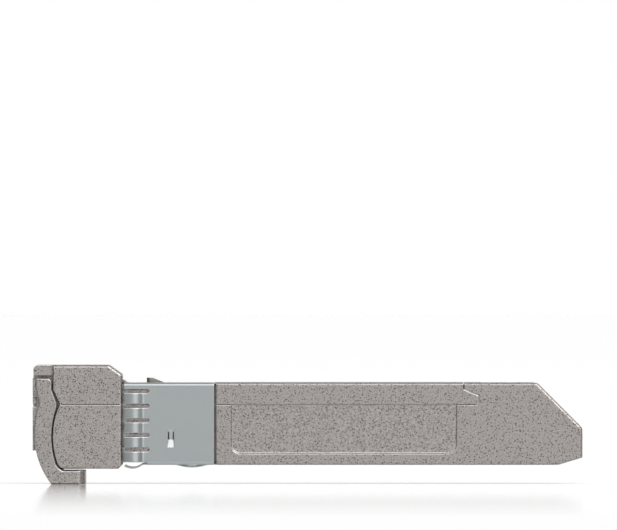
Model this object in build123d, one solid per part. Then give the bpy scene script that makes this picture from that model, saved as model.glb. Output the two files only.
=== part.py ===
"""Small form-factor pluggable optical transceiver with a two-port fibre head and a lever latch.

The module lies as it is pictured: the latch side is up and the lever's foot is down.
X runs from the head to the tail, Z is up, and the origin is under the middle, level with the lever's foot.
The sizes below give a body 13.4 mm wide and 8.5 mm high, and a board that ends 41.8 mm behind the latch shoulder.
"""

from build123d import *
from math import asin, atan2, cos, degrees, hypot, pi, radians, sin, sqrt
import os

os.makedirs("parts", exist_ok=True)

# Lengths of the head, of the seat for the cage's edge, and from the latch shoulder to the tail, in millimetres
head_length = 9.25
stop_to_shoulder = 2.5
shoulder_to_tail = 45.0
foot_to_body = 2.0

# Fibre ports, which with their walls set the body's width and height
port_pitch = 6.25
port_width = 4.7
port_height = 4.65
port_depth = 10.0
port_side_wall = 0.425
port_back_wall = 0.8
port_lead_in = 0.2
catch_width = 2.7
catch_height = 1.35
catch_depth = 5.3
catch_floor = 0.25
catch_pocket_width = 4.3
catch_pocket_start = 3.2
catch_pocket_length = 1.7
board_depth = 2.25

# Outer form of the body
edge_round = 0.3
tail_slope = 4.7
tail_corner_round = 0.7
tail_bevel_length = 2.5
tail_bevel_height = 0.75

# Head
head_step = 0.25
head_rise = 1.8
head_drop = 0.4
head_back_slope_length = 1.39
head_back_slope_height = 0.98
head_front_bevel = 0.28
head_low_bevel = 0.4
rim_proud = 0.085
rim_root = 0.5
rim_top_below_head = 1.3
rim_low_above_head = 1.88
access_depth = 1.78
shelf_inset = 0.45
shelf_length = 2.1
shelf_bottom_below_head = 1.08
notch_height = 1.03
notch_above_split = 0.76
notch_depth = 0.45
notch_width = 0.7

# Walls and the parting joint
floor_thickness = 0.8
roof_thickness = 0.7
skirt_thickness = 0.7
seam_bevel = 0.14
fit_gap = 0.03
cover_end_from_tail = 12.3
cover_end_wall = 1.6
cover_end_gap = 0.12
hook_reach = 1.62
hook_neck = 0.75
hook_slope_height = 0.65
hook_nose_round = 0.3
bridge_length = 1.92

# Recessed panel on each side
panel_from_collar = 1.85
panel_to_hook = 0.775
panel_above_low = 1.27
panel_depth = 0.15
panel_corner = 0.85

# Sheet-metal spring collar and its seat
sheet = 0.15
collar_to_shoulder = 6.975
collar_front_gap = 0.2
collar_end_gap = 0.05
relief_width = 0.25
relief_depth = 0.45
relief_margin = 0.12
collar_bend = 0.35
seat_corner = 0.15
slot_width = 0.45
slot_bevel = 0.14
finger_pitch = 1.505
side_fingers = 5
low_fingers = 8
first_slot_depth = 0.9
slot_root_to_shoulder = 0.075
side_finger_well = 0.5
low_finger_well = 0.26
finger_flat = 0.3
finger_crest = 0.4
finger_crest_back = 0.89
finger_root_round = 0.5
finger_tip_round = 1.8
latch_window_side_gap = 0.4
latch_window_back = 2.4
window_corner = 0.4
collar_seam = 0.1
dimple_from_collar_end = 4.45
dimple_window_width = 0.65
dimple_window_height = 1.86
dimple_centre_below_top = 5.72
dimple_fold_below_centre = 0.16
dimple_waist = 0.4
dimple_shoulder = 0.31
dimple_depth = 0.35
dimple_seat_gap = 0.1
contact_arm_width = 1.6
contact_arm_length = 4.1
contact_arm_pitch = 6.8
contact_arm_root = 0.4
contact_arm_rise = 0.29
contact_arm_slit = 0.25
contact_arm_round = 1.5
contact_arm_tip = 0.34

# Lever: its front edge's distance behind the rim at each height, and its width there
lever_thickness = 0.95
lever_side_gap = 0.1
lever_bevel = 0.1
lever_travel = 90.0
arm_top_gap = 0.3
arm_top_setback = 0.395
arm_hip_setback = 0.375
arm_hip_height = 1.5
arm_width = 1.62
knee_setback = 0.745
knee_width = 1.765
knee_height = 0.11
knee_flat = 0.41
belly_setback = 0.185
belly_width = 1.81
belly_height = 3.2
calf_setback = 0.745
calf_width = 1.68
calf_height = 0.5
shin_setback = 1.275
shin_width = 1.405
shin_drop = 0.6
toe_setback = 1.935
instep_width = 1.235
foot_gap = 0.19
foot_length = 3.5
foot_corner = 0.9
foot_round = 0.12
arm_top_round = 0.5
arm_front_round = 0.2
arm_bend_round = 0.6
lever_gap = 0.11
arm_back_gap = 0.16
knee_gap = 0.365
ankle_gap = 0.19
pocket_bend_setback = 2.575
pocket_bend_drop = 0.7
pocket_foot_setback = 3.1

# Hinge and the cam on each hinge stub
pivot_from_front = 1.175
pivot_below_top = 2.2
stub_radius = 0.8
running_gap = 0.04
cam_base = 0.37
cam_round = 0.7
cam_gap = 0.02
cam_width = 1.2
cam_points = 6

# Rocker that the cams tip, with the latch boss
rocker_travel = 4.8
rocker_pivot_back = 5.375
rocker_pivot_above_split = 2.05
rocker_width = 4.4
rocker_side_gap = 0.2
rocker_hub_half = 0.5
rocker_hub_depth = 0.525
rocker_neck = 1.0
rocker_back_rise = 0.43
trunnion_radius = 0.45
trunnion_length = 0.8
trunnion_end_gap = 0.1
tee_side_gap = 0.3
tee_length = 1.4
tee_reach = 0.8
tee_thickness = 0.5
tail_arm_width = 3.4
tail_arm_setback = 0.6
tail_arm_step = 0.95
tail_arm_root_gap = 0.6
tail_arm_tip_gap = 0.95
tail_arm_end = 0.15
boss_width = 2.6
boss_height = 0.5
boss_length = 1.95
boss_flat = 0.7
boss_corner = 0.4

# Rocker tunnel in the cover
tunnel_floor_above_split = 0.75
chamber_floor_gap = 0.25
chamber_length = 2.4
chamber_wall = 1.3
tunnel_roof = 0.6
tunnel_lap = 0.5
tunnel_step = 1.0
tunnel_back_clearance = 0.12
channel_beyond_boss = 0.4

# Flat spring over the rocker
leaf_thickness = 0.12
leaf_width = 3.6
leaf_length = 3.8
leaf_setback = 0.6
leaf_gap = 0.01
leaf_press_gap = 0.02
leaf_root_round = 0.8

# Optical sub-assemblies
nozzle_radius = 1.45
nozzle_length = 5.2
nozzle_bevel = 0.2
nozzle_lip = 0.3
ferrule_bore = 0.6255
sleeve_wall = 0.2245
sleeve_length = 4.8
sleeve_slit = 0.2
sleeve_end_gap = 0.1
lip_catch = 0.05
stub_step = 0.08
stub_setback = 0.3
barrel_radius = 2.0
barrel_length = 3.3
can_radius = 2.1
can_length = 1.6
header_radius = 2.35
header_thickness = 0.6
header_side_gap = 0.225
header_floor_gap = 0.175
saddle_setback = 0.3
saddle_length = 1.0
clamp_length = 1.4
clamp_gap = 0.02
clamp_side_gap = 0.05

# Circuit board, what carries it, and the edge contacts
board_thickness = 1.0
board_side_gap = 0.1
board_front_gap = 1.0
board_end_from_tail = 3.2
edge_length = 8.4
edge_margin = 0.6
edge_tip_bevel = 0.3
edge_lip_bevel = 0.2
contact_count = 10
contact_pitch = 0.8
contact_width = 0.55
contact_length = 2.6
contact_long_extra = 0.5
contact_thickness = 0.04
contact_setback = 0.35
rib_length = 1.2
rib_count = 5
rib_ledge = 0.6
rib_margin = 1.5
bulkhead_height = 2.45
bulkhead_thickness = 1.5
bulkhead_setback = 0.2

# Flex circuits, chips and small parts
flex_thickness = 0.12
flex_width = 3.8
flex_lap = 1.9
flex_bend = 0.35
flex_drop = 1.7
chip_height = 0.9
driver_size = 5.0
driver_station = 7.0
controller_size = 4.0
controller_station = 9.5
amplifier_size = 3.0
amplifier_station = 15.5
pad_size = 6.0
pad_thickness = 0.9
capacitor_size = (1.0, 0.5, 0.5)
capacitor_start = 2.2
capacitor_pitch = 1.9
capacitor_side = 3.9
capacitor_columns = 9
resistor_size = (0.6, 0.3, 0.25)
resistor_start = 1.2
resistor_pitch = 1.2
resistor_side = 3.2
resistor_columns = 7

# How far cutters run past a face, how far joined solids overlap, and the slack for comparing places
past = 1.0
lap = 0.1
slack = 0.01

# Widths and heights worked out from those sizes
overall_length = head_length + stop_to_shoulder + shoulder_to_tail
half_core = (port_pitch + port_width) / 2 + port_side_wall
half_head = half_core + lever_side_gap + lever_thickness
half_body = half_head - head_step
half_cavity = port_pitch / 2 + header_radius + header_side_gap
half_tail = half_body - skirt_thickness
half_board = half_cavity - board_side_gap
seat_depth = sheet + fit_gap
half_seat = half_body - seat_depth
chamber_side = half_core - chamber_wall
z_low = foot_to_body
z_split = z_low + catch_floor + catch_height + port_height
z_high = z_split + board_depth
head_low = z_low - head_drop
head_high = z_high + head_rise
port_low = z_split - port_height
axis_z = z_split - port_height / 2
optics_floor = axis_z - header_radius - header_floor_gap
bay_floor = z_low + floor_thickness
board_low = z_split - board_thickness

# Stations along the module
tail_x = overall_length / 2
front_x = -overall_length / 2
head_front = front_x + rim_proud
shoulder_x = tail_x - shoulder_to_tail
head_back = shoulder_x - stop_to_shoulder
cover_end = tail_x - cover_end_from_tail
bridge_end = cover_end + bridge_length
collar_front = head_back + collar_front_gap
collar_end = shoulder_x + collar_to_shoulder
seat_end = collar_end + collar_end_gap
relief_end = collar_end + relief_width
slot_root = shoulder_x + slot_root_to_shoulder
panel_start = collar_end + panel_from_collar
panel_end = cover_end - panel_to_hook
foot_end = front_x + toe_setback + foot_length
port_back = head_front + port_depth
nozzle_tip = port_back - nozzle_length
bay_front = port_back + port_back_wall
barrel_end = bay_front + barrel_length
can_end = barrel_end + can_length
header_end = can_end + header_thickness
board_front = header_end + board_front_gap
board_end = tail_x - board_end_from_tail
edge_start = board_end - edge_length
driver_x = board_front + driver_station

# Lever, rocker and tunnel
pivot_x = front_x + pivot_from_front
pivot_z = head_high - pivot_below_top
shelf_z = head_high - shelf_bottom_below_head
lever_top = shelf_z - arm_top_gap
foot_top = head_low - foot_gap
rocker_x = front_x + rocker_pivot_back
rocker_z = z_split + rocker_pivot_above_split
rocker_back_top = z_high + rocker_back_rise
tee_low = pivot_z + cam_base + cam_gap
tee_high = tee_low + tee_thickness
tunnel_floor = z_split + tunnel_floor_above_split
tunnel_ceiling = head_high - tunnel_roof
chamber_floor = pivot_z - cam_round - chamber_floor_gap
chamber_back = head_front + chamber_length
collar_neck_z = z_high - hook_neck
hook_nose_z = collar_neck_z - hook_slope_height

# Optical sub-assemblies
sleeve_radius = ferrule_bore + sleeve_wall
lip_radius = sleeve_radius - lip_catch
stub_holder = sleeve_radius - stub_step
sleeve_start = nozzle_tip + nozzle_lip + fit_gap


def block(x0, x1, y0, y1, z0, z1):
    """A box between three pairs of limits."""
    centre = Pos((x0 + x1) / 2, (y0 + y1) / 2, (z0 + z1) / 2)
    return centre * Box(x1 - x0, y1 - y0, z1 - z0)


def across(x0, x1, half_width, z0, z1):
    """A box that is centred on the middle plane."""
    return block(x0, x1, -half_width, half_width, z0, z1)


def tile(x, y, length, width, low_z, height):
    """A flat block that stands at a place on the board."""
    return Pos(x, y, low_z + height / 2) * Box(length, width, height)


def side_plate(outline, y0, y1):
    """An outline drawn in X and Z, given its thickness from y0 to y1."""
    plate = extrude(Plane.XZ * outline, y1 - y0)
    return Pos(0, y1, 0) * plate


def polygon(*points):
    """A flat face with straight sides."""
    return make_face(Polyline(*points, close=True))


def rod(x, z, radius, y0, y1):
    """A round bar along Y."""
    return side_plate(Pos(x, z) * Circle(radius), y0, y1)


def x_rod(y, z, radius, x0, x1):
    """A round bar along X."""
    disc = Plane.YZ * (Pos(y, z) * Circle(radius))
    return Pos(x0, 0, 0) * extrude(disc, x1 - x0)


def both_sides(shape):
    """A shape and its mirror image across the middle plane."""
    return shape + mirror(shape, about=Plane.XZ)


def ring_bar(inset, corner, x0, x1):
    """A bar with the body's cross-section, taken in from its outer face by an inset."""
    section = RectangleRounded(2 * (half_body - inset), z_high - z_low - 2 * inset, corner)
    section = Plane.YZ * (Pos(0, (z_low + z_high) / 2) * section)
    return Pos(x0, 0, 0) * extrude(section, x1 - x0)


def side_edges(solid, half_width, start):
    """The edges that lie in the two outer side faces, behind a station."""
    return [
        edge
        for edge in solid.edges()
        if all(abs(abs(vertex.Y) - half_width) < slack for vertex in edge.vertices())
        and abs(abs(edge.center().Y) - half_width) < slack
        and edge.center().X > start + slack
    ]


def port_centres():
    """Where the two fibre ports lie across the width."""
    return (-port_pitch / 2, port_pitch / 2)


# Housing: the outer form, then the parting surface that divides it


def body_form():
    """The straight body with its sloped tail and rounded long edges."""
    start = head_back - past
    outline = polygon(
        (start, z_low),
        (tail_x - tail_bevel_length, z_low),
        (tail_x, z_low + tail_bevel_height),
        (tail_x, z_high - tail_slope),
        (tail_x - tail_slope, z_high),
        (start, z_high),
    )
    corners = outline.vertices().filter_by(
        lambda v: v.X > start + slack and v.Y > z_low + tail_bevel_height + slack
    )
    outline = fillet(corners, tail_corner_round)
    form = side_plate(outline, -half_body, half_body)
    return fillet(side_edges(form, half_body, start), edge_round)


def head_form():
    """The taller head, before its side pockets are cut."""
    outline = polygon(
        (head_front, head_low),
        (head_back - head_low_bevel, head_low),
        (head_back, head_low + head_low_bevel),
        (head_back, head_high - head_back_slope_height),
        (head_back - head_back_slope_length, head_high),
        (head_front + head_front_bevel, head_high),
        (head_front, head_high - head_front_bevel),
    )
    form = side_plate(outline, -half_head, half_head)
    return fillet(side_edges(form, half_head, head_front), edge_round)


def pocket_outline():
    """The recess that a lever arm lies in, open to the front and below."""
    open_front = front_x - past
    open_low = head_low - lap
    wall_top = (front_x + arm_top_setback + arm_width + arm_back_gap, shelf_z)
    hip = (front_x + arm_hip_setback + arm_width + arm_back_gap, z_split + arm_hip_height)
    kink = (front_x + knee_setback + knee_width + knee_gap, z_split)
    bend = (front_x + pocket_bend_setback, z_split - pocket_bend_drop)
    belly = (front_x + belly_setback + belly_width + lever_gap, head_low + belly_height)
    ankle = (front_x + calf_setback + calf_width + ankle_gap, head_low + calf_height)
    foot = (front_x + pocket_foot_setback, open_low)
    return make_face(
        [
            Line((open_front, shelf_z), wall_top),
            Line(wall_top, hip),
            Line(hip, kink),
            Line(kink, bend),
            ThreePointArc(bend, belly, ankle),
            Line(ankle, foot),
            Line(foot, (open_front, open_low)),
            Line((open_front, open_low), (open_front, shelf_z)),
        ]
    )


def shelf_cut():
    """The shallow step above each arm, with a rounded back corner."""
    back = head_front + shelf_length
    inner = half_head - shelf_inset
    cut = block(front_x - past, back, inner, half_head + past, shelf_z, head_high + past)
    corner = cut.edges().filter_by(
        lambda e: e.center().X > back - slack and abs(e.center().Y - inner) < slack
    )
    return fillet(corner.filter_by(Axis.Z), edge_round)


def finger_notch():
    """The notch in the rim beside each port."""
    top = z_split + notch_above_split
    inner = half_core - notch_width
    return block(front_x - past, front_x + notch_depth, inner, half_core + past, top - notch_height, top)


def collar_seat():
    """The collar's seat, with wells for its fingers and dimples and a relief groove at its end."""
    outside = across(head_back, seat_end, half_body + past, z_low - past, z_high + past)
    seat = outside - ring_bar(seat_depth, seat_corner, head_back, seat_end)
    relief = block(
        collar_end,
        relief_end,
        half_body - relief_depth,
        half_body + past,
        z_low + relief_margin,
        z_high - relief_margin,
    )
    well_end = slot_root + slot_width
    well_top = z_high - first_slot_depth + slot_width / 2
    inner = half_body - side_finger_well
    side_well = block(head_back, well_end, inner, half_body + past, z_low - past, well_top)
    low_well = across(head_back, well_end, half_body + past, z_low - past, z_low + low_finger_well)
    x = collar_end - dimple_from_collar_end
    z = z_high - dimple_centre_below_top
    half_well = dimple_window_width / 2 + dimple_seat_gap
    dimple_well = block(
        x - half_well,
        x + half_well,
        half_seat - dimple_depth - dimple_seat_gap,
        half_body + past,
        z - dimple_window_height / 2,
        z + dimple_window_height / 2,
    )
    return seat + both_sides(side_well + dimple_well + relief) + low_well


def panel_cut():
    """A shallow side panel with sloped edges, closed above by the cover's edge."""
    length = panel_end - panel_start
    low = z_low + panel_above_low
    high = z_split + past
    outline = Pos(panel_start + length / 2, (low + high) / 2) * Rectangle(length, high - low)
    outline = fillet(outline.vertices().sort_by(Axis.Y)[:2], panel_corner)
    cutter = extrude(Plane.XZ * outline, 2 * panel_depth, taper=-45)
    cutter = mirror(Pos(0, panel_depth - half_body, 0) * cutter, about=Plane.XZ)
    return cutter & block(
        panel_start - past, panel_end + past, 0, half_body + past, z_low, z_split
    )


def housing_form():
    """Head and body as one outer form, with every outside recess."""
    rim_low = head_low + rim_low_above_head
    rim_high = head_high - rim_top_below_head
    access_end = head_front + access_depth
    form = body_form() + head_form()
    form -= both_sides(side_plate(pocket_outline(), half_core, half_head + past))
    form -= both_sides(shelf_cut())
    form += across(front_x, head_front + rim_root, half_core, rim_low, rim_high)
    form -= across(front_x - past, access_end, half_head + past, head_low - past, rim_low)
    form -= both_sides(finger_notch())
    form -= collar_seat()
    return form - both_sides(panel_cut())


def cover_region(gap, end_gap):
    """The side outline above the parting plane, ending in the hook under the base's bridge."""
    nose_x = cover_end + hook_reach + gap
    outline = polygon(
        (front_x - past, z_split),
        (nose_x, z_split),
        (nose_x, hook_nose_z + gap),
        (cover_end + end_gap, collar_neck_z + gap),
        (cover_end + end_gap, head_high + past),
        (front_x - past, head_high + past),
    )
    nose = outline.vertices().filter_by(lambda v: v.X > cover_end + end_gap + slack)
    return side_plate(fillet(nose, hook_nose_round), -overall_length, overall_length)


def seam_bar(start, end, half_width):
    """A square bar on edge along a stretch of the parting line, which bevels the base's lip."""
    run = end[0] - start[0]
    rise = end[1] - start[1]
    bar = Rot(45, 0, 0) * Box(hypot(run, rise) + seam_bevel, seam_bevel, seam_bevel)
    middle = Pos((start[0] + end[0]) / 2, half_width, (start[1] + end[1]) / 2)
    return middle * Rot(0, -degrees(atan2(rise, run)), 0) * bar


def seam_bevels():
    """The bevels on the base's lip where the cover meets it on the outside."""
    head_start = front_x + knee_setback + knee_width + knee_gap + seam_bevel
    slope_end = (cover_end + hook_reach - hook_nose_round, hook_nose_z + seam_bevel)
    nose_low = cover_end + hook_reach - hook_nose_round
    head = seam_bar((head_start, z_split), (head_back - edge_round, z_split), half_head)
    front = seam_bar((relief_end, z_split), (panel_start - panel_depth, z_split), half_body)
    back = seam_bar((panel_end + panel_depth, z_split), (nose_low, z_split), half_body)
    slope = seam_bar((cover_end, collar_neck_z), slope_end, half_body)
    return both_sides(head + front + back + slope)


def port_cut(y):
    """One port with its lead-in, and the catch slot below it."""
    half = port_width / 2
    catch_low = port_low - catch_height
    catch_end = head_front + catch_depth
    pocket_start = head_front + catch_pocket_start
    pocket_end = pocket_start + catch_pocket_length
    half_pocket = catch_pocket_width / 2
    port = block(front_x - past, port_back, y - half, y + half, port_low, z_split)
    wide = Rectangle(port_width + 2 * port_lead_in, port_height + 2 * port_lead_in)
    narrow = Rectangle(port_width, port_height)
    middle = Pos(y, axis_z)
    mouth = Pos(front_x, 0, 0) * (Plane.YZ * (middle * wide))
    throat = Pos(front_x + port_lead_in, 0, 0) * (Plane.YZ * (middle * narrow))
    lead_in = loft([mouth, throat])
    half_catch = catch_width / 2
    catch = block(front_x - past, catch_end, y - half_catch, y + half_catch, catch_low, axis_z)
    pocket = block(pocket_start, pocket_end, y - half_pocket, y + half_pocket, catch_low, axis_z)
    return port + lead_in + catch + pocket


def optics_bay():
    """The open bay behind the ports, with the slots that the nozzles drop into."""
    saddle_start = bay_front + saddle_setback
    saddle_end = saddle_start + saddle_length
    slot = nozzle_radius + fit_gap
    slot_start = port_back - lap
    slot_end = bay_front + lap
    bay = across(bay_front, board_front, half_cavity, optics_floor, z_split)
    saddle = across(saddle_start, saddle_end, half_cavity, optics_floor, axis_z)
    for y in port_centres():
        saddle -= x_rod(y, axis_z, barrel_radius + fit_gap, bay_front, barrel_end)
    bay -= saddle
    for y in port_centres():
        bay += x_rod(y, axis_z, slot, slot_start, slot_end)
        bay += block(slot_start, slot_end, y - slot, y + slot, axis_z, z_split)
    return bay


def rib_stations():
    """Where the ribs that carry the board stand."""
    first = board_front + rib_margin
    last = edge_start - rib_margin
    step = (last - first) / (rib_count - 1)
    return [first + step * i for i in range(rib_count)]


def rib_pair(x, low, high):
    """One pair of ribs, which reach in over the board's edges."""
    return both_sides(
        block(x - rib_length / 2, x + rib_length / 2, half_board - rib_ledge, half_cavity, low, high)
    )


def board_bay():
    """The bay under the board, less the ribs that carry it and the raised heat pedestal."""
    bay = across(board_front, edge_start + bulkhead_setback, half_cavity, bay_floor, z_split)
    for x in rib_stations():
        bay -= rib_pair(x, bay_floor, board_low)
    half_pad = pad_size / 2
    pedestal_high = board_low - chip_height - pad_thickness
    return bay - across(driver_x - half_pad, driver_x + half_pad, half_pad, bay_floor, pedestal_high)


def tail_bay():
    """The tail's open bay between the skirts, which the host's socket enters."""
    bulkhead_start = edge_start + bulkhead_setback
    bulkhead_end = bulkhead_start + bulkhead_thickness
    bulkhead_top = bay_floor + bulkhead_height
    under = across(edge_start + lap, bridge_end, half_tail, bay_floor, z_split + fit_gap)
    behind = across(bridge_end, tail_x + past, half_tail, bay_floor, z_high + past)
    bulkhead = across(bulkhead_start, bulkhead_end, half_tail, bay_floor, bulkhead_top)
    return under + behind - bulkhead


def base_shell(form):
    """The deeper half: ports, optics bay, board bay and tail."""
    shell = form - cover_region(fit_gap, cover_end_gap) - seam_bevels()
    for y in port_centres():
        shell -= port_cut(y)
    return shell - optics_bay() - board_bay() - tail_bay()


def tunnel():
    """The passage for the rocker: a wide chamber at the front, then a narrower channel."""
    half = rocker_width / 2 + rocker_side_gap
    start = chamber_back - tunnel_lap
    channel_end = shoulder_x + boss_length + channel_beyond_boss
    back_ceiling = rocker_back_top + tunnel_back_clearance
    reach = rocker_width / 2 + trunnion_length + trunnion_end_gap
    seat = trunnion_radius + fit_gap
    chamber = across(front_x - past, chamber_back, chamber_side, chamber_floor, tunnel_ceiling)
    outline = polygon(
        (start, chamber_floor),
        (rocker_x, tunnel_floor),
        (channel_end, tunnel_floor),
        (channel_end, z_high + past),
        (head_back, z_high + past),
        (head_back, back_ceiling),
        (rocker_x + tunnel_step, back_ceiling),
        (rocker_x - tunnel_step / 2, tunnel_ceiling),
        (start, tunnel_ceiling),
    )
    groove = across(start, rocker_x, reach, rocker_z - seat, rocker_z + seat)
    bearing = rod(rocker_x, rocker_z, seat, -reach, reach)
    return chamber + side_plate(outline, -half, half) + groove + bearing


def cover_shell(form):
    """The shallower half: it closes the bays and carries the lever hinge and the rocker."""
    ceiling = z_high - roof_thickness
    inside = across(barrel_end + lap, cover_end - cover_end_wall, half_cavity, z_split, ceiling)
    for x in rib_stations()[:-1]:
        inside -= rib_pair(x, z_split, z_high)
    bore = rod(pivot_x, pivot_z, stub_radius + running_gap, chamber_side - past, half_head)
    return (form & cover_region(0, 0)) - inside - tunnel() - both_sides(bore)


# Sheet-metal spring collar


def bent_strip(start, bends, thickness):
    """A thin strip that runs towards the head along tangent arcs: each bend is a radius and a turn."""
    outer = []
    inner = []
    outer_point = Vector(start, 0)
    inner_point = Vector(start, -thickness)
    heading = Vector(-1, 0)
    for radius, turn in bends:
        inner_radius = radius - thickness if turn > 0 else radius + thickness
        outer.append(JernArc(outer_point, heading, radius, turn))
        inner.append(JernArc(inner_point, heading, inner_radius, turn))
        outer_point = outer[-1] @ 1
        inner_point = inner[-1] @ 1
        heading = outer[-1] % 1
    first = Line((start, 0), (start, -thickness))
    last = Line(outer_point, inner_point)
    return make_face(outer + [last] + inner + [first])


def climb_turn(run, rise):
    """The turn at which two tangent arcs of opposite sense climb by a rise over a run."""
    return 2 * degrees(atan2(rise, run))


def crest_radius(run, rise, root_round):
    """The radius over the crest that goes with a chosen radius at the root."""
    return run / sin(radians(climb_turn(run, rise))) - root_round


def flat_strip(x0, x1, thickness):
    """A straight stretch of strip in section, level with the sheet."""
    return polygon((x0, 0), (x1, 0), (x1, -thickness), (x0, -thickness))


def finger_section():
    """One finger in section: along X, and outward from the sheet's outer face."""
    start = slot_root - finger_flat
    run = start - collar_front - finger_crest_back
    turn = climb_turn(run, finger_crest)
    tip_turn = degrees(asin(finger_crest_back / finger_tip_round))
    bends = [
        (finger_root_round, -turn),
        (crest_radius(run, finger_crest, finger_root_round), turn),
        (finger_tip_round, tip_turn),
    ]
    return bent_strip(start, bends, sheet) + flat_strip(slot_root + lap, start, sheet)


def bow_section(start, length, rise, root_round, thickness):
    """A strip in section that bows up and comes back level, the same at both ends."""
    run = length / 2
    turn = climb_turn(run, rise)
    crest = crest_radius(run, rise, root_round)
    bends = [(root_round, -turn), (crest, turn), (crest, turn), (root_round, -turn)]
    return bent_strip(start, bends, thickness)


def contact_arm_section():
    """One long contact arm in section: a bow with a short level tip."""
    root = collar_end - contact_arm_root
    bow_length = contact_arm_length - contact_arm_tip
    bow = bow_section(root, bow_length, contact_arm_rise, contact_arm_round, sheet)
    return bow + flat_strip(root - bow_length, root - contact_arm_length, sheet)


def slot_end():
    """The closed end of a slot between two fingers, from above, with its corners cut off."""
    half = slot_width / 2
    end = slot_root + half
    return polygon(
        (slot_root - lap, -half),
        (end - slot_bevel, -half),
        (end, slot_bevel - half),
        (end, half - slot_bevel),
        (end - slot_bevel, half),
        (slot_root - lap, half),
    )


def add_side_fingers(collar, section):
    """Cuts the slot roots in both sides and adds a finger under each slot."""
    finger_width = finger_pitch - slot_width
    root = side_plate(slot_end(), -half_body - past, half_body + past)
    for i in range(side_fingers):
        slot_z = z_high - first_slot_depth - finger_pitch * i
        collar -= Pos(0, 0, slot_z) * root
        bottom = slot_z - slot_width / 2 - finger_width
        finger = mirror(extrude(section, finger_width), about=Plane.XZ)
        collar += both_sides(Pos(0, -half_body, bottom) * finger)
    return collar


def add_low_fingers(collar, section):
    """Cuts the slot roots in the lower face and adds the row of fingers there."""
    finger_width = finger_pitch - slot_width
    downward = Rot(-90, 0, 0) * extrude(section, finger_width)
    row_start = -(low_fingers * finger_pitch - slot_width) / 2
    root = Pos(0, row_start - slot_width / 2, z_low) * extrude(slot_end(), 2 * sheet, both=True)
    for i in range(low_fingers):
        collar -= Pos(0, i * finger_pitch, 0) * root
        collar += Pos(0, row_start + i * finger_pitch, z_low) * downward
    return collar - Pos(0, low_fingers * finger_pitch, 0) * root


def latch_window():
    """The cut-out over the rocker, open towards the head."""
    back = shoulder_x + latch_window_back
    half = rocker_width / 2 + latch_window_side_gap
    window = across(collar_front - past, back, half, z_high - 2 * sheet, z_high + past)
    corners = window.edges().filter_by(Axis.Z).filter_by(lambda e: e.center().X > back - slack)
    return fillet(corners, window_corner)


def add_contact_arms(collar):
    """Cuts the slits round two long arms on the lower face and bows the arms out."""
    root = collar_end - contact_arm_root
    front = root - contact_arm_length - contact_arm_slit
    half_opening = contact_arm_width / 2 + contact_arm_slit
    arm = Rot(-90, 0, 0) * extrude(contact_arm_section(), contact_arm_width)
    for y in (-contact_arm_pitch / 2, contact_arm_pitch / 2):
        low = z_low - past
        collar -= block(front, root, y - half_opening, y + half_opening, low, z_low + 2 * sheet)
        collar += Pos(0, y - contact_arm_width / 2, z_low) * arm
    return collar


def add_dimples(collar):
    """Presses a folded bridge into each side, slit free at its waist."""
    x = collar_end - dimple_from_collar_end
    z = z_high - dimple_centre_below_top
    low = z - dimple_window_height / 2
    high = z + dimple_window_height / 2
    half_window = dimple_window_width / 2
    inner = half_body - 2 * sheet
    fold_z = z - dimple_fold_below_centre
    outline = polygon(
        (0, high + lap),
        (-dimple_depth, fold_z),
        (0, low - lap),
        (-sheet, low - lap),
        (-dimple_depth - sheet, fold_z),
        (-sheet, high + lap),
    )
    bridge = extrude(Plane.YZ * (Pos(half_body, 0) * outline), dimple_window_width)
    bridge = Pos(x - half_window, 0, 0) * bridge
    deep = half_body - dimple_depth - past
    slit_high = high - dimple_shoulder
    front_slit = block(x - half_window - past, x - dimple_waist / 2, deep, half_body, fold_z, slit_high)
    back_slit = block(x + dimple_waist / 2, x + half_window + past, deep, half_body, fold_z, slit_high)
    window = block(x - half_window, x + half_window, inner, half_body + past, low, high)
    return collar - both_sides(window) + both_sides(bridge - front_slit - back_slit)


def spring_collar():
    """The folded collar with its bowed fingers, contact arms and dimples."""
    strip_low = z_high - first_slot_depth + slot_width / 2
    strips = ring_bar(0, collar_bend, collar_front, slot_root)
    strips &= across(collar_front, slot_root, half_body + past, strip_low, z_high + past)
    collar = ring_bar(0, collar_bend, slot_root, collar_end) + strips
    collar -= ring_bar(sheet, collar_bend - sheet, collar_front - past, collar_end + past)
    section = finger_section()
    collar = add_side_fingers(collar, section)
    collar = add_low_fingers(collar, section)
    collar -= latch_window()
    collar -= across(
        collar_front - past, collar_end + past, collar_seam / 2, z_high - past, z_high + past
    )
    return add_dimples(add_contact_arms(collar))


# Lever


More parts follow.
